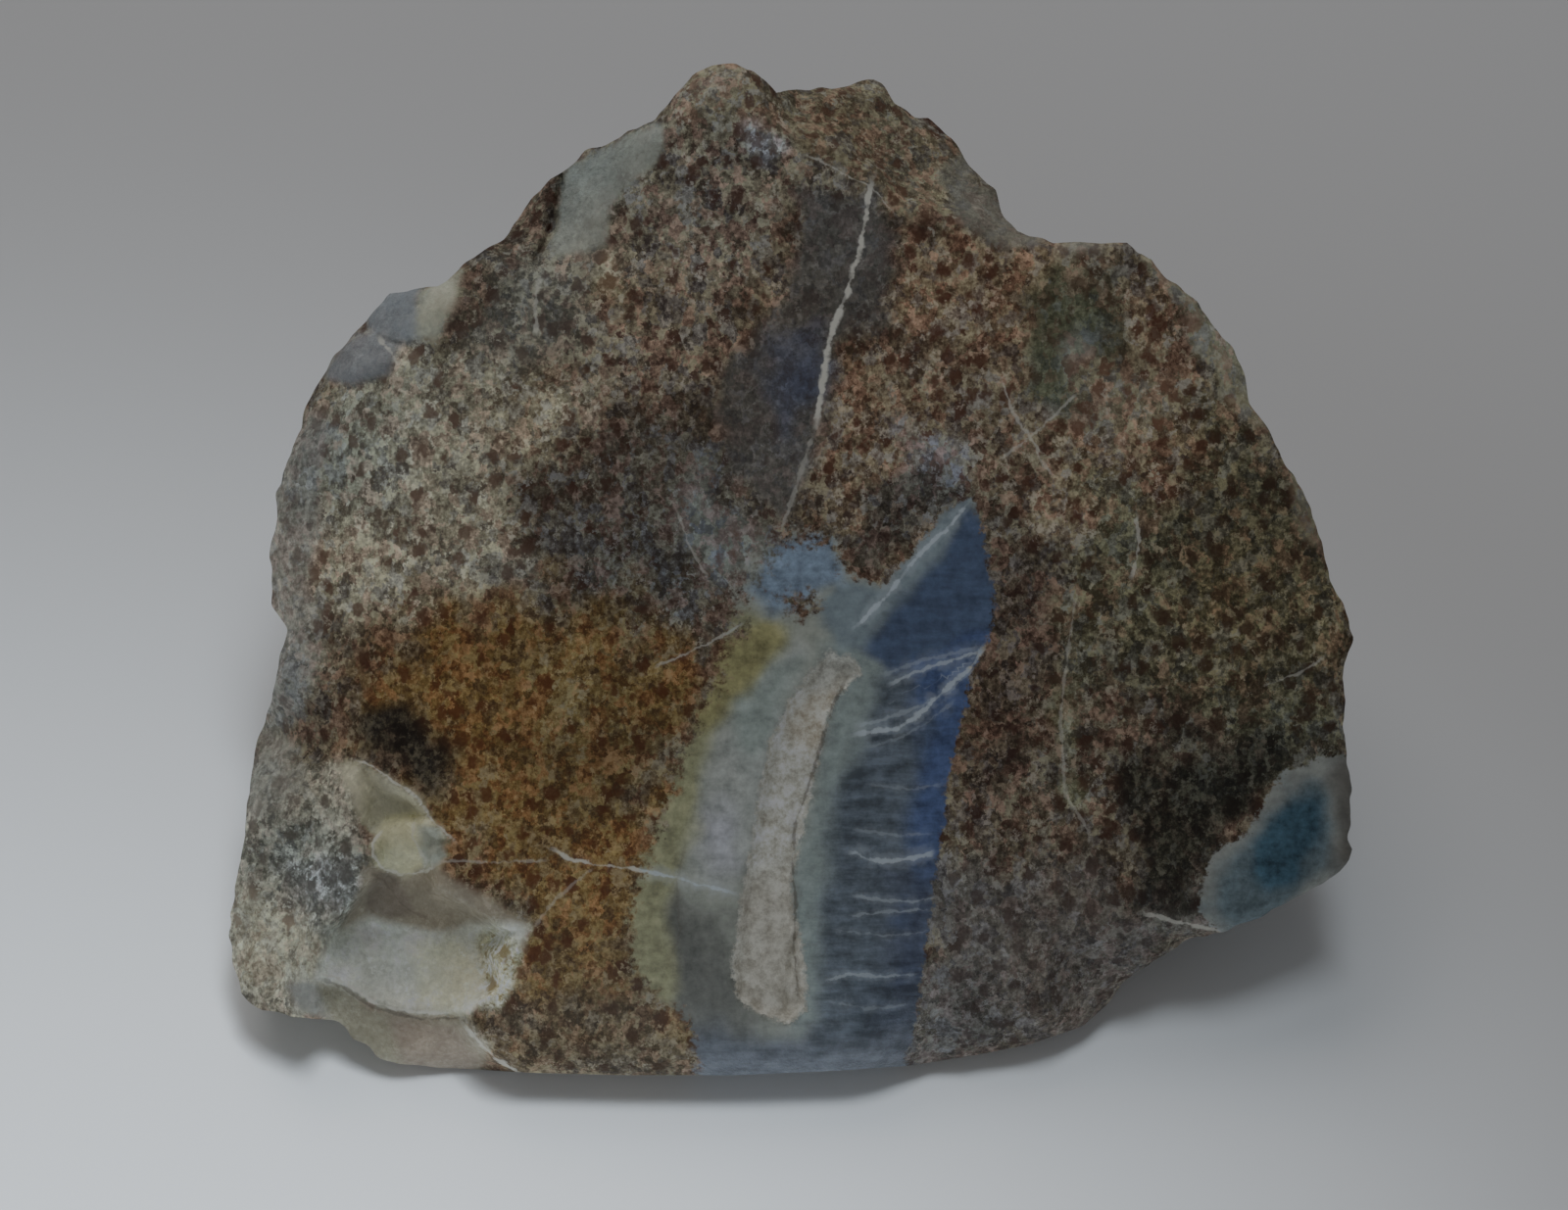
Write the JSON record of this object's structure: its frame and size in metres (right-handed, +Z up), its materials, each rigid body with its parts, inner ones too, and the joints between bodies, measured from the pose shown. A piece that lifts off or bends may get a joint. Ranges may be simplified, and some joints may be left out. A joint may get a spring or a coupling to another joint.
{
  "type": "rough mineral chunk",
  "caption": "Hand-sized rough chunk of blue-veined ternesite-bearing rock with a ground face, broken sides and a flat base to rest on.",
  "frame": {"origin": "middle of the bounding box at the level of the flat base", "axes": "+Z up; +X to the right along the ground face; the ground face looks towards -Y and up, about 55 degrees above level"},
  "size_m": [0.092, 0.0718, 0.0533],
  "materials": {
    "stone": "ground smooth on one face, rough and granular where broken"
  },
  "bodies": {
    "root": {"ternesite_chunk": "stone"}
  },
  "joints": []
}
